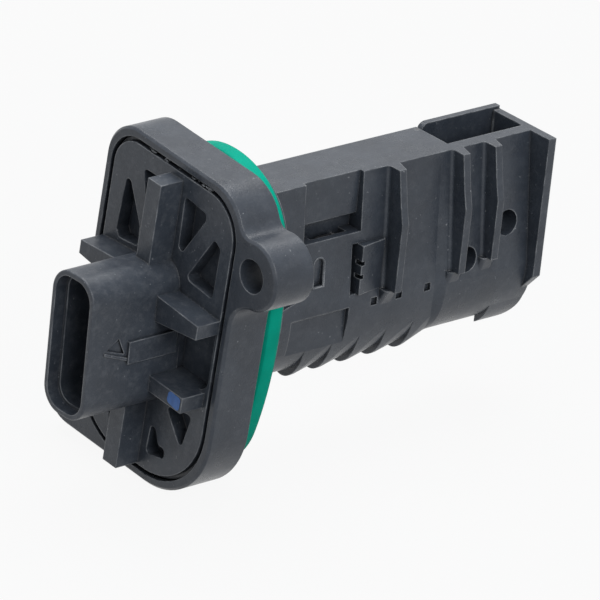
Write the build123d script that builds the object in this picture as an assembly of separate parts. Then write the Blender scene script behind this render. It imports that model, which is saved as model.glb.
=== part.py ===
from build123d import *
import os
from math import cos, hypot, radians

# Plug-in mass airflow sensor, in millimetres.
# The origin is the centre of the flange's rear face, +X points to the probe's tip, +Z to the flat
# (outlet) side of the probe and +Y to its back. The flange is turned a little about X.

# Flange, in its own turned frame: width along y, height along z
flange_turn = 4.5
flange_thickness = 8.0
flange_width = 33.1
flange_height = 54.9
flange_corner_top_back = 6.5
flange_corner_top_front = 8.0
flange_corner_low_front = 13.5
flange_edge_chamfer = 0.4
ear_radius = 5.6
ear_out = 3.0
ear_drop = 10.65
ear_blend_top = 2.4
ear_blend_low = 4.5
far_ear_blend = 3.0
screw_hole_radius = 2.7
relief_depth = 0.3
relief_gap = 0.4

# Plate that carries the connector, let into the flange
rim_width = 1.3
groove_width = 0.8
groove_depth = 1.1
seat_gap = 0.15
plate_thickness = 3.5
ledge_width = 2.6
pocket_depth = 2.5
pocket_corner = 0.7
plate_corner_top_back = 5.0
plate_corner_top_front = 6.5
plate_corner_low_front = 12.0
plate_corner_low_back = 11.0

# Ribs on the plate
rib_height = 4.4
rib_thickness = 3.1
rib_inset_up = 1.0
rib_inset_down = 0.3
rib_inset_side = 0.05
hanging_rib_front_y = -1.2
hanging_rib_back_y = 2.0
side_rib_depth_at_root = 4.2
side_rib_depth_at_end = 2.3
side_rib_back_z = 6.2
side_rib_front_z = 5.35
side_rib_front_root_z = 4.8
bar_top_z = -6.4
bar_depth = 2.6
bar_inset = 0.9
paint_start_y = -10.2
paint_end_y = -13.2
paint_corner = 0.6
paint_film = 0.06
well_depth = 2.2
well_corner = 2.2
well_lip = 0.5

# Connector shroud, square to the probe
shroud_length = 17.0
shroud_width = 9.95
shroud_height = 23.8
shroud_centre_y = -0.07
shroud_centre_z = -1.0
shroud_corner = 4.0
shroud_wall = 0.85
shroud_floor_x = -12.0
lead_in_depth = 2.2
lead_in_step = 0.45
latch_height = 0.55
latch_start_x = -17.5
latch_low_z = -3.6
latch_high_z = 0.1
pointer_start_x = -21.5
pointer_end_x = -18.0
pointer_depth = 0.45
strip_start_x = -22.1
strip_thickness = 0.5
strip_rise = 0.25

# Terminals
terminal_count = 5
terminal_pitch = 4.0
terminal_thickness = 0.64
terminal_width = 1.5
terminal_tip_x = -20.0
terminal_tip_taper = 1.0
terminal_end_x = 13.5
terminal_end_pitch = 3.2
terminal_bend_start_x = -3.5
terminal_bend_end_x = 5.0
passage_gap = 0.9

# Seal and its gland
seal_half_width = 15.3
seal_half_height = 26.3
seal_side_radius = 72.0
seal_end_radius = 17.0
seal_corner = 13.0
seal_section = 3.1
seal_width = 4.6
seal_chamfer = 1.1
seal_start_x = 0.5
seal_gap = 0.2
collar_step = 2.0
collar_thickness = 0.8

# Probe
probe_tip_x = 66.5
top_z = 17.65
back_y = 7.0
near_y_top = -2.6
near_y_low = -4.4
nose_centre_z = -4.5
nose_depth = 12.3
nose_end_round = 4.5

# Fins on the near side
fin_side_x = (35.2, 48.5, 55.3)
fin_low_z = (-2.6, -2.2, -1.2)
fin_tip_width = 1.35
fin_back_slope = 0.8
fin_root_round = 0.6
fin_tip_y_top = -5.2
fin_tip_y_mid = -6.3
fin_tip_y_low = -7.1
fin_mid_z = 12.0
fin_full_z = 9.0
foot_ledge = 0.8
foot_length = 4.0
foot_drop = 1.0
foot_corner = 0.7
end_wall_thickness = 1.5
end_wall_chamfer_z = -6.2
end_wall_low_z = -10.4
end_wall_low_y = -3.4

# Steps round the nose, and the wider end of the probe
step_first_x = 20.6
step_pitch = 5.65
step_count = 5
step_height = 1.4
step_spread = 0.25
step_clear = 0.1
wide_start_x = 46.2
wide_full_x = 47.9
wide_near_y = -5.3
wide_depth = 10.0
lip_start_x = 59.5
lip_depth = 1.3
lip_inset = 0.5

# Recesses on the near side
window_start_x = 18.2
window_end_x = 30.0
window_floor_y = -1.8
window_low_z = 10.4
cavity_low_z = 7.8
cavity_floor_y = -0.4
undercut_low_z = 5.4
undercut_skin_y = -2.2
undercut_margin = 0.9
slot_x = 28.3
slot_width = 1.1
slot_depth = 3.0
slot_low_z = -2.5
slot_high_z = 5.9
pad_height = 0.8
pad_length = 5.2
pad_notch = 0.7
key_slot_x = 21.55
key_slot_width = 1.8
key_slot_low_z = 0.35
key_slot_high_z = 4.9
key_slot_depth = 0.8
lower_recess_start_x = 16.4
lower_recess_end_x = 28.3
lower_recess_top_z = -4.6
lower_recess_floor_y = -3.6
lower_gap = 0.5
lower_gap_depth = 2.0
neck_gap_end_x = 17.8
neck_gap_high_z = 3.0
neck_gap_low_z = -1.3
neck_gap_root_z = -4.8
dimple_x = (32.8, 38.0, 44.0)
dimple_z = -4.6
dimple_size = 1.3
dimple_depth = 0.6

# Air channel
channel_start_x = 49.2
channel_end_x = 65.1
channel_near_y = -0.5
channel_low_z = -9.0
channel_corner = 2.0
divider_x = 57.0
divider_thickness = 1.2
divider_low_z = -3.0
divider_high_z = 11.0
inlet_start_x = 60.0
inlet_back_y = 5.0
side_hole_radius = 2.1
side_hole_a = (52.0, -1.2)
side_hole_b = (60.5, 3.2)

# Covers on the back
bypass_cover_seat_y = 6.45
bypass_cover_thickness = 1.45
bypass_cover_lap = 1.4
bypass_cover_strip_z = 16.4
bypass_cover_raise_x = 49.8
bypass_cover_raise_round = 1.4
bypass_cover_top_rise = 0.5
bypass_cover_low_z = -9.6
bypass_seat_margin = 0.4
cover_gap = 0.1
cover_lip = 1.4
cover_thickness = 1.5
bead_width = 0.7
bead_depth = 0.6

# Electronics
chamber_start_x = 10.0
channel_wall = 6.2
chamber_low_z = -3.4
chamber_high_z = 14.0
chamber_floor_y = 0.6
chamber_corner = 1.0
shelf_end_x = 14.0
shelf_inset = 0.3
board_gap = 0.6
carrier_thickness = 0.8
board_thickness = 0.7
gel_depth = 2.6
arm_thickness = 0.6
arm_width = 5.0
arm_z = 6.8
arm_start_x = 38.5
arm_end_x = 54.5
arm_gap = 0.12
chip_size = 2.2
chip_thickness = 0.35
control_chip_size = 6.5
control_chip_height = 1.1
small_part_height = 0.9
ribbon_width = 0.6
ribbon_thickness = 0.15
ribbon_rise = 0.5
ribbon_foot = 0.8
ribbon_on_terminal = 1.6
ribbon_on_board = 2.2
control_chip_shift_x = 2.0
control_chip_shift_z = 2.0
small_part_shift_x = 7.5
capacitor_length = 3.2
capacitor_width = 1.6
capacitor_1_shift_z = 6.0
capacitor_2_shift_z = 5.5
resistor_length = 2.0
resistor_width = 1.25
resistor_shift_z = 2.5

# Air temperature sensor in the cavity
bead_radius = 0.75
bead_length = 3.6
bead_y = -1.3
bead_z = 6.7
lead_radius = 0.22
lead_spread = 5.4
lead_centre_x = 24.2
lead_gap = 0.06

# Places worked out from the sizes above
flange_front_x = -flange_thickness
plate_seat_x = flange_front_x + plate_thickness
rib_front_x = flange_front_x - rib_height
shroud_mouth_x = flange_front_x - shroud_length
ear_y = -flange_width / 2 - ear_out
ear_z = flange_height / 2 - ear_drop
far_ear_y = flange_width / 2
far_ear_z = -flange_height / 2 + ear_radius
gland_end_x = seal_start_x + seal_width + seal_gap
collar_end_x = gland_end_x + collar_thickness
plate_half_width = flange_width / 2 - rim_width - groove_width
plate_half_height = flange_height / 2 - rim_width - groove_width
cavity_high_z = window_low_z
chamber_end_x = channel_start_x - channel_wall
bypass_cover_start_x = channel_start_x - bypass_cover_lap
shroud_near_y = shroud_centre_y - shroud_width / 2
carrier_top_y = chamber_floor_y + carrier_thickness
board_top_y = carrier_top_y + board_thickness
cover_seat_y = back_y - cover_thickness
terminal_y = shroud_centre_y
terminal_low_y = terminal_y - terminal_thickness / 2
terminal_top_y = terminal_y + terminal_thickness / 2
board_start_x = shelf_end_x + board_gap
board_end_x = chamber_end_x - board_gap
chamber_mid_z = (chamber_low_z + chamber_high_z) / 2
far = 100.0


def near_side_y(z, low_y=near_y_low):
    """Height of the near side wall's face at z, above the nose."""
    share = (z - nose_centre_z) / (top_z - nose_centre_z)
    return low_y + share * (near_y_top - low_y)


def block(x0, x1, y0, y1, z0, z1):
    """Box given by its two corners."""
    place = Pos((x0 + x1) / 2, (y0 + y1) / 2, (z0 + z1) / 2)
    return place * Box(abs(x1 - x0), abs(y1 - y0), abs(z1 - z0))


def along_x(section, x0, x1):
    """A (y, z) section drawn out along x."""
    return extrude(Plane.YZ.offset(x0) * section, x1 - x0)


def along_z(section, z0, z1):
    """An (x, y) section drawn out along z."""
    return extrude(Plane.XY.offset(z0) * section, z1 - z0)


def turned(shape):
    """From the flange's own frame to the part's frame."""
    return Rot(flange_turn, 0, 0) * shape


def polygon(*points):
    """Filled outline with straight sides."""
    return make_face(Polyline(*points, close=True))


def corner_nearest(section, y, z):
    """The outline's corner that lies nearest to a point."""
    return min(section.vertices(), key=lambda v: (v.X - y) ** 2 + (v.Y - z) ** 2)


def rounded_box(half_width, half_height, top_back, top_front, low_front, low_back):
    """Rectangle with its own radius at each corner: back is +y and front is -y."""
    section = Rectangle(2 * half_width, 2 * half_height)
    corners = (
        (half_width, half_height, top_back),
        (-half_width, half_height, top_front),
        (-half_width, -half_height, low_front),
        (half_width, -half_height, low_back),
    )
    for y, z, radius in corners:
        if radius > 0:
            section = fillet(corner_nearest(section, y, z), radius)
    return section


def oval_corner(side, end, side_y, end_z):
    """Where the arc of the oval's side meets the arc of its end."""
    apart = hypot(side_y, end_z)
    along = (side**2 - end**2 + apart**2) / (2 * apart)
    across = (side**2 - along**2) ** 0.5
    toward_y, toward_z = -side_y / apart, end_z / apart
    return side_y + along * toward_y - across * toward_z, along * toward_z + across * toward_y


def oval(inset=0.0):
    """The seal's outer outline, or one that lies inside it by the inset: four bowed sides."""
    half_width = seal_half_width - inset
    half_height = seal_half_height - inset
    side_y = seal_half_width - seal_side_radius
    end_z = seal_half_height - seal_end_radius
    y, z = oval_corner(seal_side_radius - inset, seal_end_radius - inset, side_y, end_z)
    sides = [
        ThreePointArc((y, -z), (half_width, 0), (y, z)),
        ThreePointArc((y, z), (0, half_height), (-y, z)),
        ThreePointArc((-y, z), (-half_width, 0), (-y, -z)),
        ThreePointArc((-y, -z), (0, -half_height), (y, -z)),
    ]
    section = make_face(sides)
    return fillet(section.vertices(), seal_corner - inset)


def flange_outline():
    """Flange with its two screw ears, seen along x."""
    section = rounded_box(
        flange_width / 2,
        flange_height / 2,
        flange_corner_top_back,
        flange_corner_top_front,
        flange_corner_low_front,
        0,
    )
    section = section + Pos(ear_y, ear_z) * Circle(ear_radius)
    side_y = -flange_width / 2
    reach = (ear_radius**2 - (side_y - ear_y) ** 2) ** 0.5
    section = fillet(corner_nearest(section, side_y, ear_z - reach), ear_blend_low)
    section = fillet(corner_nearest(section, side_y, ear_z + reach), ear_blend_top)
    section = section + Pos(far_ear_y, far_ear_z) * Circle(ear_radius)
    return fillet(corner_nearest(section, flange_width / 2, far_ear_z + ear_radius), far_ear_blend)


def plate_outline(grow=0.0):
    """Connector plate, or the groove's outline round it."""
    return rounded_box(
        plate_half_width + grow,
        plate_half_height + grow,
        plate_corner_top_back + grow,
        plate_corner_top_front + grow,
        plate_corner_low_front + grow,
        plate_corner_low_back + grow,
    )


def nose_oval(near_y, depth, wider=0.0):
    """The lower half of the nose's oval."""
    centre = Pos((back_y + near_y) / 2, nose_centre_z)
    below = Pos(0, nose_centre_z - far / 2) * Rectangle(2 * far, far)
    return (centre * Ellipse((back_y - near_y) / 2 + wider, depth)) & below


def upper_section(near_y):
    """Probe shell above the nose, seen along x: flat top and leaning near side."""
    return polygon(
        (back_y, nose_centre_z),
        (back_y, top_z),
        (near_y_top, top_z),
        (near_y, nose_centre_z),
    )


def toothed_nose():
    """Nose with saw-tooth steps that face the flange and fade out up the sides."""
    full = nose_oval(near_y_low, nose_depth)
    low_depth = nose_depth - step_height
    nose = along_x(full & nose_oval(near_y_low, low_depth, step_spread), 0, step_first_x)
    for i in range(step_count):
        start_x = step_first_x + i * step_pitch
        end_x = start_x + step_pitch
        end_depth = wide_depth if i == step_count - 1 else low_depth
        high = Plane.YZ.offset(start_x) * nose_oval(near_y_low, nose_depth + step_clear, step_spread)
        low = Plane.YZ.offset(end_x) * nose_oval(near_y_low, end_depth, step_spread)
        nose = nose + (loft([high, low], ruled=True) & along_x(full, start_x, end_x))
    return nose


def wide_end():
    """The wider end of the probe round the air channel, with the inlet's lip."""
    start = Plane.YZ.offset(wide_start_x)
    full = Plane.YZ.offset(wide_full_x)
    upper = upper_section(wide_near_y)
    nose = nose_oval(wide_near_y, wide_depth)
    body = along_x(upper, wide_full_x, probe_tip_x) + along_x(nose, wide_full_x, probe_tip_x)
    body = body + loft([start * upper_section(near_y_low), full * upper], ruled=True)
    start_nose = nose_oval(near_y_low, nose_depth - step_height)
    body = body + loft([start * start_nose, full * nose], ruled=True)
    seat_low_z = bypass_cover_low_z - bypass_seat_margin
    body = body + block(bypass_cover_start_x, probe_tip_x, 0, bypass_cover_seat_y, seat_low_z, nose_centre_z)
    lip_low_z = nose_centre_z - wide_depth - lip_depth
    lip_oval = nose_oval(wide_near_y, wide_depth + lip_depth, -lip_inset)
    lip = along_x(lip_oval, lip_start_x, probe_tip_x)
    body = body + (lip & block(0, far, -far, channel_near_y, -far, far))
    limit = block(0, probe_tip_x, -far, far, lip_low_z, far)
    tip_edge = limit.edges().filter_by(Axis.Y).group_by(Axis.Z)[0].sort_by(Axis.X)[-1]
    return body & fillet(tip_edge, nose_end_round)


def fin_section(side_x, base_y, tip_y):
    """A fin cut across: rounded root on the flange side, narrow tip, sloping back."""
    root_y = base_y + 1.0
    root = (side_x - fin_root_round, base_y)
    turn = (side_x, base_y - fin_root_round)
    middle_step = fin_root_round * (1 - cos(radians(45)))
    middle = (side_x - middle_step, base_y - middle_step)
    tip_end_x = side_x + fin_tip_width
    back_x = tip_end_x + fin_back_slope
    outline = [
        Line((root[0], root_y), root),
        ThreePointArc(root, middle, turn),
        Polyline(turn, (side_x, tip_y), (tip_end_x, tip_y), (back_x, base_y)),
        Polyline((back_x, base_y), (back_x, root_y), (root[0], root_y)),
    ]
    return make_face(outline)


def fin(side_x, low_z, wall_y):
    """One fin: its tip leans out from the top down to its full height."""
    stations = (
        (low_z, fin_tip_y_low),
        (fin_full_z, fin_tip_y_low),
        (fin_mid_z, fin_tip_y_mid),
        (top_z, fin_tip_y_top),
    )
    sections = []
    for z, tip_y in stations:
        sections.append(Plane.XY.offset(z) * fin_section(side_x, near_side_y(z, wall_y), tip_y))
    return loft(sections, ruled=True)


def foot_section(side_x, near_y):
    """A fin's foot cut across, rounded towards the near side."""
    start_x = side_x - foot_ledge
    end_x = side_x + fin_tip_width + fin_back_slope
    section = polygon((start_x, near_y), (end_x, near_y), (end_x, 0), (start_x, 0))
    for x in (start_x, end_x):
        section = fillet(corner_nearest(section, x, near_y), foot_corner)
    return section


def fin_foot(side_x, low_z, wall_y):
    """Bulge under a fin, that fades into the nose."""
    top = Plane.XY.offset(low_z) * foot_section(side_x, fin_tip_y_low + foot_drop)
    bottom = Plane.XY.offset(low_z - foot_length) * foot_section(side_x, wall_y + foot_corner)
    return loft([bottom, top], ruled=True)


def end_wall():
    """Wall at the probe's tip, wider than the probe."""
    section = polygon(
        (back_y, top_z),
        (fin_tip_y_low, top_z),
        (fin_tip_y_low, end_wall_chamfer_z),
        (end_wall_low_y, end_wall_low_z),
        (back_y - 1.0, end_wall_low_z),
        (back_y, end_wall_chamfer_z),
    )
    return along_x(section, probe_tip_x - end_wall_thickness, probe_tip_x)


def contact_pad():
    """Thin raised pad beside the slot."""
    start_x = slot_x + slot_width
    section = polygon(
        (start_x, near_side_y(slot_low_z) - pad_height),
        (start_x + pad_length, near_side_y(slot_low_z)),
        (start_x + pad_length, near_side_y(top_z) + 1),
        (start_x, near_side_y(top_z) + 1),
    )
    return along_z(section, slot_low_z, slot_high_z)


def probe_outside():
    """Probe shell before it is hollowed."""
    probe = along_x(upper_section(near_y_low), 0, wide_full_x)
    probe = probe + toothed_nose() + wide_end()
    for side_x, low_z in zip(fin_side_x, fin_low_z):
        wall_y = wide_near_y if side_x > wide_full_x else near_y_low
        probe = probe + fin(side_x, low_z, wall_y) + fin_foot(side_x, low_z, wall_y)
    return probe + end_wall() + contact_pad()


def air_sensor_cavity():
    """Window, and the cavity behind it that runs down behind the wall's skin."""
    window = block(window_start_x, window_end_x, -far, window_floor_y, window_low_z, far)
    cavity = block(window_start_x, window_end_x, -far, cavity_floor_y, cavity_low_z, cavity_high_z)
    lead_x = lead_places()
    undercut = block(
        lead_x[0] - undercut_margin,
        lead_x[1] + undercut_margin,
        undercut_skin_y,
        cavity_floor_y,
        undercut_low_z,
        cavity_high_z,
    )
    return window + cavity + undercut


def contact_slot():
    """Deep slot beside the pad, with two notches in the pad's edge."""
    face_y = near_side_y(slot_low_z)
    slot = block(slot_x, slot_x + slot_width, -far, face_y + slot_depth, slot_low_z, slot_high_z)
    for notch_z in (0.2, 2.5):
        end_x = slot_x + slot_width + pad_notch
        slot = slot + block(slot_x, end_x, -far, face_y + pad_notch, notch_z, notch_z + pad_notch)
    return slot


def key_slot():
    """Blind slot with a round top."""
    centre_z = (key_slot_low_z + key_slot_high_z) / 2
    section = Pos(key_slot_x, centre_z) * Rectangle(key_slot_width, key_slot_high_z - key_slot_low_z)
    top = section.vertices().group_by(Axis.Y)[-1]
    section = fillet(top, key_slot_width / 2 - 0.05)
    floor_y = near_side_y(key_slot_low_z) + key_slot_depth
    return Pos(0, floor_y, 0) * extrude(Plane.XZ * section, far)


def neck_gap():
    """Gap between the seal's collar and the probe's wall, with a sloping lower edge."""
    section = polygon(
        (collar_end_x, neck_gap_high_z),
        (neck_gap_end_x, neck_gap_high_z),
        (neck_gap_end_x, neck_gap_low_z),
        (collar_end_x, neck_gap_root_z),
    )
    floor_y = near_side_y(slot_low_z) + slot_depth
    return Pos(0, floor_y, 0) * extrude(Plane.XZ * section, far)


def near_side_cuts():
    """Cavity, slots, recess and dimples in the near side."""
    recess_low_z = nose_centre_z - nose_depth
    recess = block(
        lower_recess_start_x,
        lower_recess_end_x,
        -far,
        lower_recess_floor_y,
        recess_low_z,
        lower_recess_top_z,
    )
    gap_floor_y = lower_recess_floor_y + lower_gap_depth
    gap_low_z = lower_recess_top_z - lower_gap
    gap = block(lower_recess_start_x, slot_x, -far, gap_floor_y, gap_low_z, lower_recess_top_z)
    cuts = [air_sensor_cavity(), contact_slot(), key_slot(), neck_gap(), recess, gap]
    for x in dimple_x:
        floor_y = near_y_low + dimple_depth
        low_z = dimple_z - dimple_size / 2
        cuts.append(block(x, x + dimple_size, -far, floor_y, low_z, low_z + dimple_size))
    return cuts


def channel_space():
    """Air way from the inlet under the nose to the outlet on top, with its divider left standing."""
    space = block(
        channel_start_x, channel_end_x, channel_near_y, far, channel_low_z, far
    )
    low_edges = space.edges().filter_by(Axis.Y).group_by(Axis.Z)[0]
    space = fillet(low_edges, channel_corner)
    divider_end_x = divider_x + divider_thickness
    divider = block(divider_x, divider_end_x, channel_near_y - 1, back_y, divider_low_z, divider_high_z)
    divider = fillet(divider.edges().filter_by(Axis.Y), divider_thickness / 2 - 0.05)
    inlet_top_z = channel_low_z + channel_corner
    inlet = block(inlet_start_x, channel_end_x, channel_near_y, inlet_back_y, -far, inlet_top_z)
    space = (space - divider) + inlet
    for x, z in (side_hole_a, side_hole_b):
        hole = Pos(x, 0, z) * Rot(90, 0, 0) * Cylinder(side_hole_radius, 16)
        space = space + (hole & block(0, far, -far, channel_near_y + 0.5, -far, far))
    return space


def chamber_space():
    """Electronics chamber, its shelf for the terminals and the seat of its cover."""
    room = block(chamber_start_x, chamber_end_x, chamber_floor_y, far, chamber_low_z, chamber_high_z)
    room = fillet(room.edges().filter_by(Axis.Y), chamber_corner)
    low_z = chamber_low_z + shelf_inset
    high_z = chamber_high_z - shelf_inset
    shelf = block(chamber_start_x, shelf_end_x, terminal_low_y, far, low_z, high_z)
    seat = block(
        chamber_start_x - cover_lip,
        chamber_end_x + cover_lip,
        cover_seat_y,
        far,
        chamber_low_z - cover_lip,
        chamber_high_z + cover_lip,
    )
    seat = fillet(seat.edges().filter_by(Axis.Y), chamber_corner + cover_lip / 2)
    return room + shelf + seat


def electronics_bead():
    """Adhesive bead under the electronics cover."""
    margin = (cover_lip - bead_width) / 2
    outer = bead_block(margin + bead_width, chamber_corner + margin + bead_width)
    inner = bead_block(margin, chamber_corner + margin)
    return outer - inner


def bead_block(grow, corner):
    """Rounded block round the chamber, as deep as the bead."""
    shape = block(
        chamber_start_x - grow,
        chamber_end_x + grow,
        cover_seat_y - bead_depth,
        cover_seat_y,
        chamber_low_z - grow,
        chamber_high_z + grow,
    )
    return fillet(shape.edges().filter_by(Axis.Y), corner)


def bypass_bead():
    """Adhesive bead on the channel's rim, open at the outlet."""
    outer = channel_rim(0.2 + bead_width)
    inner = channel_rim(0.2)
    return outer - inner


def channel_rim(grow):
    """Block round the channel, as deep as the bead."""
    shape = block(
        channel_start_x - grow,
        channel_end_x + grow,
        bypass_cover_seat_y - bead_depth,
        bypass_cover_seat_y,
        channel_low_z - grow,
        top_z,
    )
    return fillet(shape.edges().filter_by(Axis.Y).group_by(Axis.Z)[0], channel_corner + grow)


def terminal_place(i):
    """Heights of a terminal at the connector and on the shelf."""
    step = i - (terminal_count - 1) / 2
    return shroud_centre_z + step * terminal_pitch, chamber_mid_z + step * terminal_end_pitch


def terminal(i):
    """Flat blade, stepped sideways inside the flange."""
    z0, z1 = terminal_place(i)
    half = terminal_width / 2
    taper_x = terminal_tip_x + terminal_tip_taper
    outline = [
        (terminal_tip_x, z0 - half / 2),
        (taper_x, z0 - half),
        (terminal_bend_start_x, z0 - half),
        (terminal_bend_end_x, z1 - half),
        (terminal_end_x, z1 - half),
        (terminal_end_x, z1 + half),
        (terminal_bend_end_x, z1 + half),
        (terminal_bend_start_x, z0 + half),
        (taper_x, z0 + half),
        (terminal_tip_x, z0 + half / 2),
    ]
    blade = Plane.XZ * polygon(*outline)
    return Pos(0, terminal_top_y, 0) * extrude(blade, terminal_thickness)


def terminal_passage():
    """Way for the terminals through the flange and the gland."""
    low_z = min(terminal_place(0)) - terminal_width / 2 - passage_gap
    high_z = max(terminal_place(terminal_count - 1)) + terminal_width / 2 + passage_gap
    return block(
        plate_seat_x,
        chamber_start_x + 0.5,
        terminal_low_y,
        terminal_top_y + passage_gap,
        low_z,
        high_z,
    )


def screw_holes(x0, x1):
    """Both screw holes."""
    holes = Pos(ear_y, ear_z) * Circle(screw_hole_radius)
    holes = holes + Pos(far_ear_y, far_ear_z) * Circle(screw_hole_radius)
    return along_x(holes, x0, x1)


def flange():
    """Flange frame with the seat of the connector plate, and the seal's gland behind it."""
    body = along_x(flange_outline(), flange_front_x, 0)
    rim_edges = body.faces().sort_by(Axis.X)[0].edges() + body.faces().sort_by(Axis.X)[-1].edges()
    body = chamfer(rim_edges, flange_edge_chamfer)
    body = body - along_x(plate_outline(groove_width), flange_front_x - 1, plate_seat_x)
    hollow = rounded_box(
        plate_half_width - ledge_width,
        plate_half_height - ledge_width,
        plate_corner_top_back - ledge_width,
        plate_corner_top_front - ledge_width,
        plate_corner_low_front - ledge_width,
        plate_corner_low_back - ledge_width,
    )
    body = body - along_x(hollow, plate_seat_x - 0.5, plate_seat_x / 2)
    body = body - screw_holes(flange_front_x - 1, 1)
    body = body - along_x(oval(-relief_gap), -relief_depth, 1)
    gland = along_x(oval(seal_section), plate_seat_x / 2, collar_end_x)
    collar = along_x(oval(collar_step), gland_end_x, collar_end_x)
    return turned(body + gland + collar)


def housing():
    """Flange, gland and probe: one moulding."""
    body = flange() + probe_outside()
    for cut in near_side_cuts():
        body = body - cut
    body = body - channel_space()
    body = body - bypass_cover_shape(far, 0) - chamber_space() - terminal_passage()
    body = body - electronics_bead() - bypass_bead()
    body = body - arm_slot()
    for x in lead_places():
        body = body - lead_hole(x, lead_radius + lead_gap)
    return body


def pocket(points):
    """Triangular or wedge-shaped pocket in the plate, given by its corners on the front face."""
    section = polygon(*points)
    section = fillet(section.vertices(), pocket_corner)
    return along_x(section, flange_front_x - 0.5, flange_front_x + pocket_depth)


def pockets():
    """The plate's pockets: two beside each rib, with spokes between them."""
    corners = (
        ((11.0, 20.6), (11.7, 9.8), (10.9, 8.6), (6.4, 9.2), (6.5, 12.6)),
        ((7.6, 22.2), (3.2, 22.4), (3.0, 12.4), (4.6, 12.4)),
        ((-2.5, 22.2), (-7.8, 21.6), (-7.8, 20.4), (-2.8, 11.4)),
        ((-10.4, 18.6), (-12.0, 17.6), (-11.9, 9.0), (-5.4, 9.5)),
        ((-5.5, -12.6), (-10.2, -18.2), (-11.6, -11.5)),
        ((-3.0, -15.5), (-5.2, -20.0), (-6.8, -19.8), (-6.8, -21.6), (-2.6, -22.6)),
        ((3.4, -15.5), (3.4, -22.4), (6.6, -22.0), (7.6, -18.4)),
        ((6.4, -12.4), (9.4, -16.4), (11.8, -15.4), (11.8, -9.0)),
    )
    shape = pocket(corners[0])
    for points in corners[1:]:
        shape = shape + pocket(points)
    return shape


def ribs():
    """Cross ribs and the bar, proud of the plate."""
    half = rib_thickness / 2
    root_z = shroud_centre_z
    inner_x = flange_front_x + 1
    upright = block(rib_front_x, inner_x, -half, half, root_z, plate_half_height - rib_inset_up)
    hanging = block(
        rib_front_x,
        inner_x,
        hanging_rib_front_y,
        hanging_rib_back_y,
        -plate_half_height + rib_inset_down,
        root_z,
    )
    reach = plate_half_width - rib_inset_side
    half_root = side_rib_depth_at_root / 2
    half_end = side_rib_depth_at_end / 2
    side = polygon(
        (-reach, side_rib_front_z - half_end),
        (-shroud_width / 2, side_rib_front_root_z - half_root),
        (shroud_width / 2, side_rib_back_z - half_root),
        (reach, side_rib_back_z - half_end),
        (reach, side_rib_back_z + half_end),
        (shroud_width / 2, side_rib_back_z + half_root),
        (-shroud_width / 2, side_rib_front_root_z + half_root),
        (-reach, side_rib_front_z + half_end),
    )
    cross = along_x(side, rib_front_x, inner_x)
    bar_end_y = -plate_half_width + bar_inset
    bar = block(rib_front_x, inner_x, bar_end_y, 0, bar_top_z - bar_depth, bar_top_z)
    return upright + hanging + cross + bar


def well():
    """Sunk floor between the front rib and the bar."""
    end_y = -plate_half_width + well_lip
    start_y = shroud_near_y - 0.2
    root_z = side_rib_front_root_z - side_rib_depth_at_root / 2
    end_z = side_rib_front_z - side_rib_depth_at_end / 2
    section = polygon((start_y, bar_top_z), (end_y, bar_top_z), (end_y, end_z), (start_y, root_z))
    section = fillet(corner_nearest(section, end_y, bar_top_z), well_corner)
    return along_x(section, flange_front_x - 0.5, flange_front_x + well_depth)


def shroud_section(inset=0.0):
    """The shroud's outline, or one that lies inside it by the inset."""
    return Pos(shroud_centre_y, shroud_centre_z) * RectangleRounded(
        shroud_width - 2 * inset, shroud_height - 2 * inset, shroud_corner - inset
    )


def latch():
    """Ridge and thin strip on the near side of the shroud."""
    top_y = shroud_near_y - latch_height
    ridge = block(latch_start_x, flange_front_x, top_y, shroud_near_y + 0.5, latch_low_z, latch_high_z)
    strip = polygon(
        (strip_start_x, latch_low_z + 2.7),
        (latch_start_x, latch_low_z + 1.0),
        (latch_start_x, latch_low_z + 1.0 - strip_thickness),
        (strip_start_x, latch_low_z + 2.7 - strip_thickness),
    )
    strip = Pos(0, shroud_near_y + 0.5, 0) * extrude(Plane.XZ * strip, strip_rise + 0.5)
    return ridge + strip


def pointer():
    """Triangular mark sunk into the near side of the shroud, over the strip."""
    section = polygon(
        (pointer_start_x, latch_low_z + 2.9),
        (pointer_start_x + 2.2, latch_high_z + 0.8),
        (pointer_end_x, latch_low_z + 1.7),
    )
    return Pos(0, shroud_near_y + pointer_depth, 0) * extrude(Plane.XZ * section, 1)


def connector_plate():
    """Plate, ribs, bar and shroud: one moulding."""
    visible = along_x(plate_outline(), flange_front_x, plate_seat_x)
    buried = along_x(plate_outline(groove_width - seat_gap), flange_front_x + groove_depth, plate_seat_x)
    body = visible + buried
    body = turned((body - pockets() - well()) + ribs())
    outer = along_x(shroud_section(), shroud_mouth_x, flange_front_x + 1)
    mouth_edges = outer.faces().sort_by(Axis.X)[0].edges()
    body = body + fillet(mouth_edges, 0.3)
    body = (body + latch()) - pointer()
    inside = along_x(shroud_section(shroud_wall + lead_in_step), shroud_mouth_x, shroud_floor_x)
    lead_in = along_x(shroud_section(shroud_wall), shroud_mouth_x - 1, shroud_mouth_x + lead_in_depth)
    body = body - inside - lead_in
    for i in range(terminal_count):
        body = body - terminal(i)
    return body


def seal_ring():
    """Green seal: a ring with sloping edges, on the gland."""
    solid = along_x(oval(), seal_start_x, seal_start_x + seal_width)
    solid = chamfer(solid.faces().filter_by(Axis.X).edges(), seal_chamfer)
    bore = along_x(oval(seal_section), -1, far)
    return turned(solid - bore)


def paint_mark():
    """Thin film of paint on the bar's front."""
    low_z = bar_top_z - bar_depth + paint_film
    high_z = bar_top_z - paint_film
    section = polygon(
        (paint_start_y, low_z + 0.5),
        (paint_start_y - 0.2, high_z),
        (paint_end_y, high_z - 0.2),
        (paint_end_y + 0.1, low_z),
    )
    section = fillet(section.vertices(), paint_corner)
    return turned(along_x(section, rib_front_x - paint_film, rib_front_x))


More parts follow.
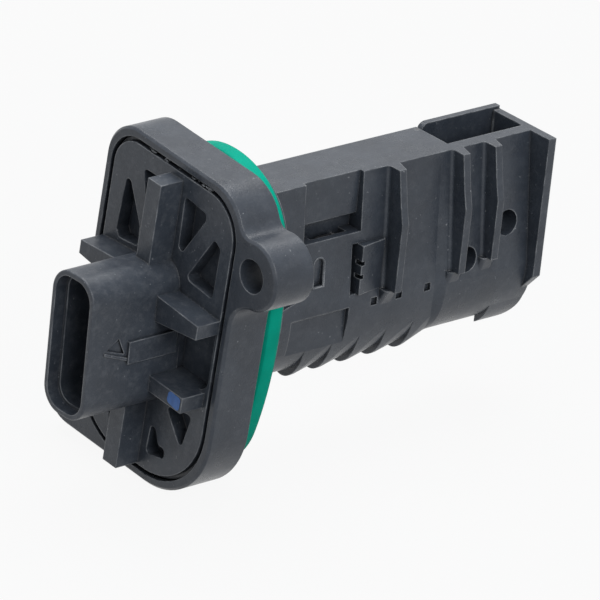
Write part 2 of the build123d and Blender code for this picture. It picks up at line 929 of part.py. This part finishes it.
def electronics_cover():
    """Lid over the electronics chamber."""
    lip = cover_lip - cover_gap
    lid = block(
        chamber_start_x - lip,
        chamber_end_x + lip,
        cover_seat_y,
        back_y,
        chamber_low_z - lip,
        chamber_high_z + lip,
    )
    lid = fillet(lid.edges().filter_by(Axis.Y), chamber_corner + lip / 2)
    return chamfer(lid.faces().sort_by(Axis.Y)[-1].edges(), 0.3)


def bypass_cover_shape(end_x, gap):
    """Lid over the air channel, or with a far end the room for it."""
    low_y = bypass_cover_seat_y
    high_y = low_y + (bypass_cover_thickness if gap else far)
    strip_z = bypass_cover_strip_z - gap
    raise_x = bypass_cover_raise_x + gap
    strip = block(bypass_cover_start_x + gap, end_x, low_y, high_y, bypass_cover_low_z + gap, strip_z)
    raised = block(raise_x, end_x, low_y, high_y, strip_z - 1, top_z + bypass_cover_top_rise)
    corner = raised.edges().filter_by(Axis.Y).group_by(Axis.Z)[-1].sort_by(Axis.X)[0]
    return strip + (fillet(corner, bypass_cover_raise_round) if gap else raised)


def bypass_cover():
    """Lid over the air channel."""
    lid = bypass_cover_shape(probe_tip_x, cover_gap)
    return chamfer(lid.faces().sort_by(Axis.Y)[-1].edges(), 0.4)


def lead_places():
    """Places of the temperature sensor's two leads along x."""
    return lead_centre_x - lead_spread / 2, lead_centre_x + lead_spread / 2


def lead_hole(x, radius):
    """Round hole along y for a lead."""
    top_y = board_top_y + small_part_height
    place = Pos(x, (top_y + bead_y) / 2, bead_z)
    return place * Rot(90, 0, 0) * Cylinder(radius, top_y - bead_y)


def thermistor():
    """Coated bead of the air temperature sensor."""
    bead = Pos(lead_centre_x, bead_y, bead_z) * Rot(0, 90, 0) * Cylinder(bead_radius, bead_length)
    return fillet(bead.edges(), bead_radius * 0.6)


def thermistor_lead(x):
    """Bent wire from the bead through the wall to the board."""
    inward = 1 if x < lead_centre_x else -1
    bead_end = lead_centre_x - inward * bead_length / 2
    middle = Pos((x + bead_end) / 2, bead_y, bead_z)
    run = middle * Rot(0, 90, 0) * Cylinder(lead_radius, abs(bead_end - x))
    return lead_hole(x, lead_radius) + run + Pos(x, bead_y, bead_z) * Sphere(lead_radius)


def carrier_plate():
    """Metal plate under the board."""
    plate = block(
        board_start_x,
        board_end_x,
        chamber_floor_y,
        carrier_top_y,
        chamber_low_z + board_gap,
        chamber_high_z - board_gap,
    )
    for x in lead_places():
        plate = plate - lead_hole(x, 2 * lead_radius)
    return fillet(plate.edges().filter_by(Axis.Y).group_by(Axis.X)[0], chamber_corner)


def circuit_board():
    """Board on the carrier plate."""
    board = block(
        board_start_x + board_gap,
        board_end_x - board_gap,
        carrier_top_y,
        board_top_y,
        chamber_low_z + 2 * board_gap,
        chamber_high_z - 2 * board_gap,
    )
    for x in lead_places():
        board = board - lead_hole(x, lead_radius + lead_gap)
    return board


def arm_box(grow=0.0):
    """The sensor arm's bar, from the board into the channel."""
    return block(
        arm_start_x,
        arm_end_x,
        board_top_y - grow,
        board_top_y + arm_thickness + grow,
        arm_z - arm_width / 2 - grow,
        arm_z + arm_width / 2 + grow,
    )


def arm_slot():
    """Slot in the wall between the chamber and the channel."""
    return arm_box(arm_gap)


def sensor_arm():
    """Arm with a seat for the sensing chip."""
    arm = fillet(arm_box().edges().filter_by(Axis.Y).group_by(Axis.X)[-1], 1.2)
    return arm - chip_seat()


def chip_seat():
    """Place of the sensing chip near the arm's end."""
    centre_x = arm_end_x - chip_size
    half = chip_size / 2
    top_y = board_top_y + arm_thickness
    return block(centre_x - half, centre_x + half, top_y - chip_thickness, top_y, arm_z - half, arm_z + half)


def board_part(x, z, length, width, height):
    """Small component on the board."""
    low = (x - length / 2, board_top_y, z - width / 2)
    return block(low[0], low[0] + length, low[1], low[1] + height, low[2], low[2] + width)


def capacitor(x, z):
    """One of the board's two capacitors."""
    return board_part(x, z, capacitor_length, capacitor_width, small_part_height)


def board_parts():
    """Components on the board, by node name."""
    mid_x = (board_start_x + board_end_x) / 2
    chip_x = mid_x + control_chip_shift_x
    chip_z = arm_z - control_chip_shift_z
    side_x = mid_x - small_part_shift_x
    resistor_z = chamber_mid_z - resistor_shift_z
    return {
        "control_chip": board_part(chip_x, chip_z, control_chip_size, control_chip_size, control_chip_height),
        "capacitor_1": capacitor(side_x, chamber_mid_z + capacitor_1_shift_z),
        "capacitor_2": capacitor(side_x, chamber_mid_z - capacitor_2_shift_z),
        "resistor": board_part(side_x, resistor_z, resistor_length, resistor_width, small_part_height / 2),
    }


def bond_ribbons():
    """Flat ribbons from the terminals to the board, a group of separate solids."""
    start_x = terminal_end_x - ribbon_on_terminal
    end_x = board_start_x + ribbon_on_board
    rise_x = start_x + ribbon_foot
    fall_x = end_x - ribbon_foot
    low_y = terminal_top_y
    crest_y = board_top_y + ribbon_rise
    t = ribbon_thickness
    outline = [
        (start_x, low_y),
        (rise_x, low_y),
        (rise_x + t, crest_y - t),
        (fall_x - t, crest_y - t),
        (fall_x, board_top_y),
        (end_x, board_top_y),
        (end_x, board_top_y + t),
        (fall_x + t, board_top_y + t),
        (fall_x, crest_y),
        (rise_x, crest_y),
        (rise_x - t, low_y + t),
        (start_x, low_y + t),
    ]
    ribbons = []
    for i in range(terminal_count):
        z = terminal_place(i)[1]
        ribbons.append(along_z(polygon(*outline), z - ribbon_width / 2, z + ribbon_width / 2))
    return Compound(ribbons)


def silicone_gel(inner_pieces):
    """Soft filling round the board and the terminals' ends."""
    gel = block(
        chamber_start_x,
        chamber_end_x,
        chamber_floor_y,
        chamber_floor_y + gel_depth,
        chamber_low_z,
        chamber_high_z,
    )
    gel = fillet(gel.edges().filter_by(Axis.Y), chamber_corner)
    for piece in inner_pieces:
        gel = gel - piece
    return gel


def build():
    """All pieces by node name."""
    pieces = {
        "housing": housing(),
        "connector_plate": connector_plate(),
        "seal_ring": seal_ring(),
        "paint_mark": paint_mark(),
        "electronics_cover": electronics_cover(),
        "bypass_cover": bypass_cover(),
        "electronics_seal": electronics_bead(),
        "channel_seal": bypass_bead(),
        "carrier_plate": carrier_plate(),
        "circuit_board": circuit_board(),
        "sensor_arm": sensor_arm(),
        "sensor_chip": chip_seat(),
        "thermistor": thermistor(),
        "bond_ribbons": bond_ribbons(),
    }
    pieces.update(board_parts())
    for i in range(terminal_count):
        pieces[f"terminal_{i + 1}"] = terminal(i)
    for i, x in enumerate(lead_places()):
        pieces[f"thermistor_lead_{i + 1}"] = thermistor_lead(x)
    inside = ["carrier_plate", "circuit_board", "sensor_arm", "control_chip", "capacitor_1"]
    inside += ["capacitor_2", "resistor", "bond_ribbons", "thermistor_lead_1", "thermistor_lead_2"]
    inside += [f"terminal_{i + 1}" for i in range(terminal_count)]
    pieces["silicone_gel"] = silicone_gel([pieces[name] for name in inside])
    return pieces


os.makedirs("parts", exist_ok=True)
for name, shape in build().items():
    export_step(shape, f"parts/{name}.step")
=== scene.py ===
"""Studio picture of a mass airflow sensor: camera, lamps, floor, finishes and two small trims."""
from math import cos, pi, radians, sin
from random import Random

import bmesh
import bpy
from mathutils import Matrix, Vector


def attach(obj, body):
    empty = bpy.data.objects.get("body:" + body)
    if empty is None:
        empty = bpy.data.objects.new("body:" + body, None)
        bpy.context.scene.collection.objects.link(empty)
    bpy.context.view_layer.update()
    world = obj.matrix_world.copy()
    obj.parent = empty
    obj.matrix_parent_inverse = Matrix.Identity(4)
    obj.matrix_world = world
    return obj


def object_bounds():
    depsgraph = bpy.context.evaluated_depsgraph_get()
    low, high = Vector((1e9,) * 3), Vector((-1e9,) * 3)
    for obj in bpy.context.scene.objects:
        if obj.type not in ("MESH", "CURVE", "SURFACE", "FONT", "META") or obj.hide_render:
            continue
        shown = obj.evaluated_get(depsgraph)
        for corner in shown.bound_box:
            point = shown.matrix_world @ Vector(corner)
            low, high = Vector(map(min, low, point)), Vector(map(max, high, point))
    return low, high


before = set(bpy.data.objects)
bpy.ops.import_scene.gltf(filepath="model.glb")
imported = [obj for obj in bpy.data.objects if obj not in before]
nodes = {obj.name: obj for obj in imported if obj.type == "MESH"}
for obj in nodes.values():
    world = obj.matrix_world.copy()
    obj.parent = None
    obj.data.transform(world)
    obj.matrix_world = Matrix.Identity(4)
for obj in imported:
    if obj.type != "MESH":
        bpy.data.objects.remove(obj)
cad_box = [list(corner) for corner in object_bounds()]

MM = 0.001

# Camera, at the photograph's angle. The frame's origin lies at ORIGIN_PX in the 600 by 600 picture.
PICTURE_PX = 600
ORIGIN_PX = (194.99, 306.66)
VIEW_AZIMUTH = radians(42.9)
VIEW_ELEVATION = radians(24.1)
VIEW_ROLL = radians(6.1)
VIEW_DISTANCE = 1.07692
LENS_MM = 420.0
SENSOR_MM = 36.0

# Floor and world. The floor lies just under the object and shows white to the camera, but for a small
# share of its own grey, which keeps the shadow.
WHITE = (1.0, 1.0, 1.0, 1.0)
FLOOR_Z = cad_box[0][2] - 0.5 * MM
FLOOR_SIZE = 12.0
FLOOR_COLOUR = (0.25, 0.255, 0.26, 1.0)
FLOOR_CAMERA_WHITE = 0.92
WORLD_COLOUR = (0.93, 0.96, 1.0, 1.0)
WORLD_LIGHT = 0.33

# Soft lamps, in metres and watts
LAMP_TARGET = (0.02, 0.0, 0.0)
LAMPS = {
    "top_light": {"place": (0.15, 0.25, 1.1), "side": 1.0, "watts": 17.5},
    "side_light": {"place": (-0.30, -1.1, 0.75), "side": 0.8, "watts": 13.0},
    "front_light": {"place": (-1.1, -0.35, 0.35), "side": 0.7, "watts": 0.8},
}

# Colours of the finishes, linear
PLASTIC_DARK = (0.022, 0.027, 0.036)
PLASTIC_LIGHT = (0.038, 0.046, 0.059)
# Pale grey of the dust film and specks, also used for the painted edge highlights
PLASTIC_DUST_AND_HIGHLIGHT = (0.180, 0.190, 0.205)
FLASH_GREY = (0.095, 0.103, 0.115)
SEAL_GREEN = (0.000, 0.295, 0.205)
SEAL_GREEN_DEEP = (0.000, 0.235, 0.162)
PAINT_BLUE = (0.035, 0.110, 0.320)
TERMINAL_TIN = (0.62, 0.60, 0.56)
CARRIER_METAL = (0.74, 0.74, 0.75)
RIBBON_METAL = (0.84, 0.84, 0.84)
LEAD_METAL = (0.70, 0.70, 0.70)
BOARD_GREEN = (0.05, 0.20, 0.10)
CERAMIC_WHITE = (0.80, 0.78, 0.72)
SILICON_GREY = (0.14, 0.16, 0.22)
COMPONENT_BLACK = (0.03, 0.03, 0.03)
COMPONENT_TAN = (0.45, 0.33, 0.20)
EPOXY_BLACK = (0.02, 0.02, 0.022)
ADHESIVE_GREY = (0.08, 0.08, 0.085)
GEL_MILKY = (0.80, 0.84, 0.86)
GEL_CLEAR = (0.92, 0.94, 0.95)

# Softened edges, the width of their painted highlight and the reach of the painted shade in corners, in
# millimetres
PLASTIC_EDGE_MM = 0.28
SEAL_EDGE_MM = 1.3
SMALL_EDGE_MM = 0.05
EDGE_HIGHLIGHT_WIDTH_MM = 0.28
SHADE_REACH_MM = 4.0
CREVICE_REACH_MM = 0.9

# Painted shade: how dark the colour is painted in a closed corner, as a share of the open colour
CORNER_SHADE = 0.45
CONNECTOR_CORNER_SHADE = 0.72
CREVICE_SHADE = 0.30
SEAL_CORNER_SHADE = 0.35

# Layers of the moulded plastic: the size of each noise and the depth of its bumps, in millimetres, and
# the share that a layer takes of the colour
MOTTLE_MM = 7.0
GRAIN_MM = 0.30
GRAIN_DEPTH_MM = 0.040
GRAIN_SHARE = 0.35
DUST_MM = 1.6
DUST_SHARE = 0.15
CONNECTOR_DUST_SHARE = 0.28
SPECK_MM = 0.55
SPECK_SHARE = 0.8
EDGE_HIGHLIGHT_PATCH_MM = 2.5
GLOSS_MM = 4.0
WAVE_MM = 9.0
WAVE_DEPTH_MM = 0.05

# Scraps of moulding flash in the groove over the connector plate, in millimetres, with their twist in
# radians. The groove's top run lies level in the flange's own frame, which is turned about x.
FLANGE_TURN = radians(4.5)
FLASH_COUNT = 26
FLASH_X = (-7.9, -7.3)
FLASH_Y = (-8.5, 7.0)
FLASH_Z = (25.35, 26.10)
FLASH_HALF_SIZES = ((0.12, 0.28), (0.25, 0.80), (0.10, 0.22))
FLASH_TWIST = (-0.5, 0.5)
FLASH_RAGGED = (0.75, 1.15)
FLASH_SEED = 5

# Raised rim round the key slot in the probe's near wall, in millimetres
SLOT_X = 21.55
SLOT_LOW_Z = 0.15
SLOT_HIGH_Z = 5.10
RIM_HALF_WIDTH = 1.15
RIM_RADIUS = 0.16
RIM_ARC_STEPS = 10


def new_object(name, data):
    """An object with its data, in the scene."""
    made = bpy.data.objects.new(name, data)
    bpy.context.scene.collection.objects.link(made)
    return made


def make_camera():
    """Camera at the photograph's viewing angle."""
    level_right = Vector((cos(VIEW_AZIMUTH), -sin(VIEW_AZIMUTH), 0))
    level_up = Vector((
        sin(VIEW_AZIMUTH) * sin(VIEW_ELEVATION),
        cos(VIEW_AZIMUTH) * sin(VIEW_ELEVATION),
        cos(VIEW_ELEVATION),
    ))
    forward = Vector((
        sin(VIEW_AZIMUTH) * cos(VIEW_ELEVATION),
        cos(VIEW_AZIMUTH) * cos(VIEW_ELEVATION),
        -sin(VIEW_ELEVATION),
    ))
    right = cos(VIEW_ROLL) * level_right + sin(VIEW_ROLL) * level_up
    up = cos(VIEW_ROLL) * level_up - sin(VIEW_ROLL) * level_right
    focal_px = LENS_MM / SENSOR_MM * PICTURE_PX
    across = (ORIGIN_PX[0] - PICTURE_PX / 2) / focal_px * VIEW_DISTANCE
    below = (ORIGIN_PX[1] - PICTURE_PX / 2) / focal_px * VIEW_DISTANCE
    place = -(across * right - below * up + VIEW_DISTANCE * forward)
    data = bpy.data.cameras.new("camera")
    data.lens = LENS_MM
    data.sensor_width = SENSOR_MM
    data.clip_start = 0.05
    data.clip_end = 50.0
    camera = new_object("camera", data)
    turn = Matrix((right, up, -forward)).transposed().to_4x4()
    camera.matrix_world = Matrix.Translation(place) @ turn
    bpy.context.scene.camera = camera


def add_node(tree, kind, **settings):
    """A shader node. The settings name its attributes or else its input sockets."""
    node = tree.nodes.new(kind)
    for name, value in settings.items():
        if hasattr(node, name):
            setattr(node, name, value)
        else:
            node.inputs[name].default_value = value
    return node


def new_material(name):
    """An empty material with its tree, shader and object coordinates."""
    material = bpy.data.materials.new(name)
    material.use_nodes = True
    tree = material.node_tree
    shader = tree.nodes["Principled BSDF"]
    coordinates = tree.nodes.new("ShaderNodeTexCoord").outputs["Object"]
    return material, tree, shader, coordinates


def noise(tree, coordinates, size_mm, detail=2.0, roughness=0.5):
    """Noise whose grain is about size_mm across."""
    node = add_node(tree, "ShaderNodeTexNoise", Detail=detail, Roughness=roughness)
    node.inputs["Scale"].default_value = 1.0 / (size_mm * MM)
    tree.links.new(coordinates, node.inputs["Vector"])
    return node.outputs["Fac"]


def ramp(tree, value, low, high, low_colour, high_colour):
    """Colour ramp between two stops."""
    node = tree.nodes.new("ShaderNodeValToRGB")
    stops = node.color_ramp.elements
    stops[0].position = low
    stops[1].position = high
    stops[0].color = (*low_colour, 1.0)
    stops[1].color = (*high_colour, 1.0)
    tree.links.new(value, node.inputs["Fac"])
    return node.outputs["Color"]


def grey(value):
    """A neutral colour."""
    return (value, value, value)


def darker(colour, share):
    """The same colour at a share of its strength."""
    return tuple(share * channel for channel in colour)


def plain_colour(tree, colour):
    """A colour as a socket, to be mixed with others."""
    node = tree.nodes.new("ShaderNodeRGB")
    node.outputs[0].default_value = (*colour, 1.0)
    return node.outputs[0]


def mix_colours(tree, share, a, b, mode="MIX"):
    """Mix two colour sockets by a share, a number or a socket."""
    node = tree.nodes.new("ShaderNodeMix")
    node.data_type = "RGBA"
    node.blend_type = mode
    if isinstance(share, float):
        node.inputs["Factor"].default_value = share
    else:
        tree.links.new(share, node.inputs["Factor"])
    tree.links.new(a, node.inputs["A"])
    tree.links.new(b, node.inputs["B"])
    return node.outputs["Result"]


def shade_corners(tree, colour, darkest, reach_mm=SHADE_REACH_MM):
    """Painted shade: darken a colour where walls stand close round a point."""
    shade = add_node(tree, "ShaderNodeAmbientOcclusion", samples=8, Distance=reach_mm * MM)
    share = ramp(tree, shade.outputs["AO"], 0.20, 0.75, grey(darkest), grey(1.0))
    return mix_colours(tree, 1.0, colour, share, mode="MULTIPLY")


def paint_edge_highlights(tree, coordinates, colour, worn):
    """Paint highlights along outward edges, in uneven patches, by lightening the colour there."""
    inside = add_node(tree, "ShaderNodeAmbientOcclusion", samples=8, inside=True, only_local=True)
    inside.inputs["Distance"].default_value = EDGE_HIGHLIGHT_WIDTH_MM * MM
    edges = ramp(tree, inside.outputs["AO"], 0.55, 0.86, grey(1.0), grey(0.0))
    uneven = noise(tree, coordinates, EDGE_HIGHLIGHT_PATCH_MM, detail=4.0)
    patches = ramp(tree, uneven, 0.38, 0.60, grey(0.25), grey(1.0))
    share = mix_colours(tree, 1.0, edges, patches, mode="MULTIPLY")
    return mix_colours(tree, share, colour, worn)


def bump(tree, shader, heights, edge_mm=0.0):
    """Bumps from (height socket, depth in mm) pairs, over softened edges."""
    normal = None
    if edge_mm:
        soft = add_node(tree, "ShaderNodeBevel", samples=6, Radius=edge_mm * MM)
        normal = soft.outputs["Normal"]
    for height, depth_mm in heights:
        node = add_node(tree, "ShaderNodeBump", Strength=1.0, Distance=depth_mm * MM)
        tree.links.new(height, node.inputs["Height"])
        if normal:
            tree.links.new(normal, node.inputs["Normal"])
        normal = node.outputs["Normal"]
    tree.links.new(normal, shader.inputs["Normal"])


def moulded_plastic(name, roughness, dust=DUST_SHARE, corner=CORNER_SHADE):
    """Black moulded plastic: flow mottling, spark-eroded grain, dusty film, pale specks, painted edge
    highlights, painted corner shade.
    """
    material, tree, shader, coordinates = new_material(name)
    mottle = noise(tree, coordinates, MOTTLE_MM, detail=4.0, roughness=0.6)
    colour = ramp(tree, mottle, 0.35, 0.68, PLASTIC_DARK, PLASTIC_LIGHT)
    grain = noise(tree, coordinates, GRAIN_MM, detail=3.0, roughness=0.65)
    grain_colour = ramp(tree, grain, 0.35, 0.70, PLASTIC_DARK, PLASTIC_LIGHT)
    colour = mix_colours(tree, GRAIN_SHARE, colour, grain_colour)
    # Pale colour of the dust and specks, also used for the painted edge highlights
    worn = plain_colour(tree, PLASTIC_DUST_AND_HIGHLIGHT)
    cloud = noise(tree, coordinates, DUST_MM, detail=8.0, roughness=0.75)
    film = ramp(tree, cloud, 0.48, 0.78, grey(0.0), grey(dust))
    colour = mix_colours(tree, film, colour, worn)
    spots = noise(tree, coordinates, SPECK_MM, detail=2.0)
    specks = ramp(tree, spots, 0.72, 0.76, grey(0.0), grey(SPECK_SHARE))
    colour = mix_colours(tree, specks, colour, worn)
    # Painted highlight along outward edges
    colour = paint_edge_highlights(tree, coordinates, colour, worn)
    # Painted shade in crevices and in corners
    colour = shade_corners(tree, colour, CREVICE_SHADE, CREVICE_REACH_MM)
    colour = shade_corners(tree, colour, corner)
    tree.links.new(colour, shader.inputs["Base Color"])
    polish = noise(tree, coordinates, GLOSS_MM, detail=5.0)
    gloss = ramp(tree, polish, 0.3, 0.75, grey(roughness - 0.06), grey(roughness + 0.08))
    tree.links.new(gloss, shader.inputs["Roughness"])
    shader.inputs["Specular IOR Level"].default_value = 0.35
    waves = noise(tree, coordinates, WAVE_MM, detail=1.0)
    bump(tree, shader, [(waves, WAVE_DEPTH_MM), (grain, GRAIN_DEPTH_MM)], PLASTIC_EDGE_MM)
    return material


def seal_rubber():
    """Green rubber, nearly matt and a little cloudy, with painted shade in its corners."""
    material, tree, shader, coordinates = new_material("seal_rubber")
    cloud = noise(tree, coordinates, size_mm=5.0, detail=3.0)
    green = ramp(tree, cloud, 0.35, 0.7, SEAL_GREEN_DEEP, SEAL_GREEN)
    # Painted shade where walls stand close round the seal
    tree.links.new(shade_corners(tree, green, SEAL_CORNER_SHADE), shader.inputs["Base Color"])
    shader.inputs["Roughness"].default_value = 0.55
    shader.inputs["Specular IOR Level"].default_value = 0.05
    grain = noise(tree, coordinates, size_mm=0.3, detail=2.0)
    bump(tree, shader, [(grain, 0.006)], SEAL_EDGE_MM)
    return material


def brushed_paint():
    """Blue marking paint, streaked by the brush."""
    material, tree, shader, coordinates = new_material("blue_paint")
    stretch = add_node(tree, "ShaderNodeMapping")
    stretch.inputs["Scale"].default_value = (1.0, 3.5, 0.8)
    tree.links.new(coordinates, stretch.inputs["Vector"])
    streaks = noise(tree, stretch.outputs["Vector"], size_mm=1.2, detail=4.0)
    blue = ramp(tree, streaks, 0.35, 0.62, darker(PAINT_BLUE, 0.80), PAINT_BLUE)
    tree.links.new(blue, shader.inputs["Base Color"])
    shader.inputs["Roughness"].default_value = 0.5
    bump(tree, shader, [(streaks, 0.03)])
    return material


def metal(name, colour, roughness, grain_mm=0.6):
    """Metal with a faint grain in its colour and gloss."""
    material, tree, shader, coordinates = new_material(name)
    worn = noise(tree, coordinates, grain_mm, detail=4.0)
    uneven = ramp(tree, worn, 0.3, 0.7, darker(colour, 0.8), colour)
    tree.links.new(uneven, shader.inputs["Base Color"])
    shader.inputs["Metallic"].default_value = 1.0
    gloss = ramp(tree, worn, 0.3, 0.7, grey(roughness + 0.1), grey(roughness))
    tree.links.new(gloss, shader.inputs["Roughness"])
    bump(tree, shader, [(worn, 0.004)], SMALL_EDGE_MM)
    return material


def plain_finish(name, colour, roughness, grain_mm=0.4, spread=0.25):
    """Non-metal finish with a light grain: boards, chips, ceramics and adhesives."""
    material, tree, shader, coordinates = new_material(name)
    grain = noise(tree, coordinates, grain_mm, detail=3.0)
    uneven = ramp(tree, grain, 0.35, 0.7, darker(colour, 1.0 - spread), colour)
    tree.links.new(uneven, shader.inputs["Base Color"])
    gloss = ramp(tree, grain, 0.3, 0.7, grey(roughness), grey(roughness + 0.08))
    tree.links.new(gloss, shader.inputs["Roughness"])
    bump(tree, shader, [(grain, 0.008)], SMALL_EDGE_MM)
    return material


def clear_gel():
    """Clear gel with a faint milky cloud."""
    material, tree, shader, coordinates = new_material("gel")
    cloud = noise(tree, coordinates, size_mm=3.0, detail=2.0)
    milky = ramp(tree, cloud, 0.3, 0.7, GEL_MILKY, GEL_CLEAR)
    tree.links.new(milky, shader.inputs["Base Color"])
    shader.inputs["Transmission Weight"].default_value = 0.85
    shader.inputs["Roughness"].default_value = 0.12
    shader.inputs["IOR"].default_value = 1.41
    bump(tree, shader, [(cloud, 0.02)])
    return material


def dress(material, *names):
    """Give CAD nodes a finish."""
    for name in names:
        data = nodes[name].data
        if not data.materials:
            data.materials.append(material)
        for slot in nodes[name].material_slots:
            slot.material = material


def dress_mouldings():
    """Finishes of the plastic pieces, the seal and the paint mark."""
    housing = moulded_plastic("housing_plastic", roughness=0.30)
    connector = moulded_plastic(
        "connector_plastic", roughness=0.36, dust=CONNECTOR_DUST_SHARE, corner=CONNECTOR_CORNER_SHADE
    )
    covers = moulded_plastic("cover_plastic", roughness=0.32)
    dress(housing, "housing")
    dress(connector, "connector_plate")
    dress(covers, "electronics_cover", "bypass_cover")
    dress(seal_rubber(), "seal_ring")
    dress(brushed_paint(), "paint_mark")


def dress_insides():
    """Finishes of the terminals, the electronics and what holds them."""
    terminals = [name for name in nodes if name.startswith("terminal_")]
    dress(metal("terminal_metal", TERMINAL_TIN, roughness=0.28), *terminals)
    dress(metal("carrier_metal", CARRIER_METAL, roughness=0.35), "carrier_plate")
    dress(metal("ribbon_metal", RIBBON_METAL, roughness=0.30), "bond_ribbons")
    dress(metal("lead_metal", LEAD_METAL, roughness=0.25), "thermistor_lead_1", "thermistor_lead_2")
    dress(plain_finish("board_lacquer", BOARD_GREEN, roughness=0.35), "circuit_board")
    dress(plain_finish("arm_ceramic", CERAMIC_WHITE, roughness=0.55, spread=0.08), "sensor_arm")
    dress(plain_finish("chip_silicon", SILICON_GREY, roughness=0.15, grain_mm=1.0), "sensor_chip")
    dress(plain_finish("component_black", COMPONENT_BLACK, roughness=0.5), "control_chip", "resistor")
    dress(plain_finish("component_tan", COMPONENT_TAN, roughness=0.5), "capacitor_1", "capacitor_2")
    dress(plain_finish("bead_epoxy", EPOXY_BLACK, roughness=0.2), "thermistor")
    dress(plain_finish("adhesive_bead", ADHESIVE_GREY, roughness=0.6), "electronics_seal", "channel_seal")
    dress(clear_gel(), "silicone_gel")


def make_flash():
    """Ragged scraps of moulding flash left along the groove's top run."""
    draw = Random(FLASH_SEED)
    turn = Matrix.Rotation(FLANGE_TURN, 3, "X")
    scraps = bmesh.new()
    for _ in range(FLASH_COUNT):
        centre = Vector([draw.uniform(*span) for span in (FLASH_X, FLASH_Y, FLASH_Z)])
        half = [draw.uniform(*span) for span in FLASH_HALF_SIZES]
        twist = Matrix.Rotation(draw.uniform(*FLASH_TWIST), 3, "X")
        for vertex in bmesh.ops.create_icosphere(scraps, subdivisions=2, radius=1.0)["verts"]:
            ragged = draw.uniform(*FLASH_RAGGED)
            corner = Vector([ragged * size * side for size, side in zip(half, vertex.co)])
            vertex.co = MM * (turn @ (centre + twist @ corner))
    mesh = bpy.data.meshes.new("groove_flash")
    scraps.to_mesh(mesh)
    scraps.free()
    mesh.materials.append(plain_finish("flash_plastic", FLASH_GREY, roughness=0.45, spread=0.6))
    piece = new_object("groove_flash", mesh)
    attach(piece, "root")


def slot_rim_route():
    """Points (x, z), in millimetres, round the key slot, which has straight sides and a round top."""
    bend_z = SLOT_HIGH_Z - RIM_HALF_WIDTH
    route = [(SLOT_X + RIM_HALF_WIDTH, SLOT_LOW_Z)]
    for step in range(RIM_ARC_STEPS + 1):
        angle = pi * step / RIM_ARC_STEPS
        route.append((SLOT_X + RIM_HALF_WIDTH * cos(angle), bend_z + RIM_HALF_WIDTH * sin(angle)))
    route.append((SLOT_X - RIM_HALF_WIDTH, SLOT_LOW_Z))
    return route


def make_slot_rim():
    """Rim of half-round section that stands on the near wall round the key slot."""
    route = slot_rim_route()
    near_y = cad_box[0][1]
    inward = Vector((0, 1, 0))
    bpy.context.view_layer.update()
    curve = bpy.data.curves.new("key_slot_rim", "CURVE")
    curve.dimensions = "3D"
    curve.bevel_depth = RIM_RADIUS * MM
    curve.bevel_resolution = 3
    spline = curve.splines.new("POLY")
    spline.points.add(len(route) - 1)
    spline.use_cyclic_u = True
    for point, (x, z) in zip(spline.points, route):
        start = Vector((x * MM, near_y, z * MM))
        _, place, _, _ = nodes["housing"].ray_cast(start, inward)
        point.co = (*place, 1.0)
    curve.materials.append(nodes["housing"].material_slots[0].material)
    piece = new_object("key_slot_rim", curve)
    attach(piece, "root")


def area_light(name, place, side, watts):
    """Soft square lamp that looks at the object."""
    data = bpy.data.lights.new(name, "AREA")
    data.shape = "SQUARE"
    data.size = side
    data.energy = watts
    lamp = new_object(name, data)
    lamp.location = place
    lamp.rotation_mode = "QUATERNION"
    lamp.rotation_quaternion = (Vector(LAMP_TARGET) - Vector(place)).to_track_quat("-Z", "Y")


def camera_share(tree):
    """One for rays from the camera and for those that go on by reflection or through glass."""
    path = tree.nodes.new("ShaderNodeLightPath")
    share = path.outputs["Is Camera Ray"]
    for name in ("Is Glossy Ray", "Is Transmission Ray"):
        larger = add_node(tree, "ShaderNodeMath", operation="MAXIMUM")
        tree.links.new(share, larger.inputs[0])
        tree.links.new(path.outputs[name], larger.inputs[1])
        share = larger.outputs[0]
    return share


def make_world():
    """White to the camera, dimmer and cooler as a light."""
    world = bpy.data.worlds.new("studio")
    bpy.context.scene.world = world
    world.use_nodes = True
    tree = world.node_tree
    tree.nodes.clear()
    light = add_node(tree, "ShaderNodeBackground", Color=WORLD_COLOUR, Strength=WORLD_LIGHT)
    white = add_node(tree, "ShaderNodeBackground", Color=WHITE, Strength=1.0)
    mix = tree.nodes.new("ShaderNodeMixShader")
    output = tree.nodes.new("ShaderNodeOutputWorld")
    tree.links.new(camera_share(tree), mix.inputs["Fac"])
    tree.links.new(light.outputs[0], mix.inputs[1])
    tree.links.new(white.outputs[0], mix.inputs[2])
    tree.links.new(mix.outputs[0], output.inputs["Surface"])


def floor_material():
    """Grey to the light, and white to the camera but for a small share of that grey."""
    material, tree, shader, _ = new_material("floor")
    shader.inputs["Base Color"].default_value = FLOOR_COLOUR
    shader.inputs["Roughness"].default_value = 0.9
    white = add_node(tree, "ShaderNodeEmission", Color=WHITE, Strength=1.0)
    share = add_node(tree, "ShaderNodeMath", operation="MULTIPLY")
    share.inputs[1].default_value = FLOOR_CAMERA_WHITE
    tree.links.new(camera_share(tree), share.inputs[0])
    mix = tree.nodes.new("ShaderNodeMixShader")
    tree.links.new(share.outputs[0], mix.inputs["Fac"])
    tree.links.new(shader.outputs[0], mix.inputs[1])
    tree.links.new(white.outputs[0], mix.inputs[2])
    tree.links.new(mix.outputs[0], tree.nodes["Material Output"].inputs["Surface"])
    return material


def make_floor():
    """Wide flat floor under the object."""
    half = FLOOR_SIZE / 2
    corners = [(x, y, FLOOR_Z) for x, y in ((-half, -half), (half, -half), (half, half), (-half, half))]
    mesh = bpy.data.meshes.new("floor")
    mesh.from_pydata(corners, [], [(0, 1, 2, 3)])
    mesh.materials.append(floor_material())
    new_object("floor", mesh)


def make_studio():
    """World, floor and soft lamps."""
    make_world()
    make_floor()
    for name, lamp in LAMPS.items():
        area_light(name, **lamp)
    bpy.context.scene.view_settings.view_transform = "Standard"


make_camera()
make_studio()
dress_mouldings()
dress_insides()
make_flash()
make_slot_rim()
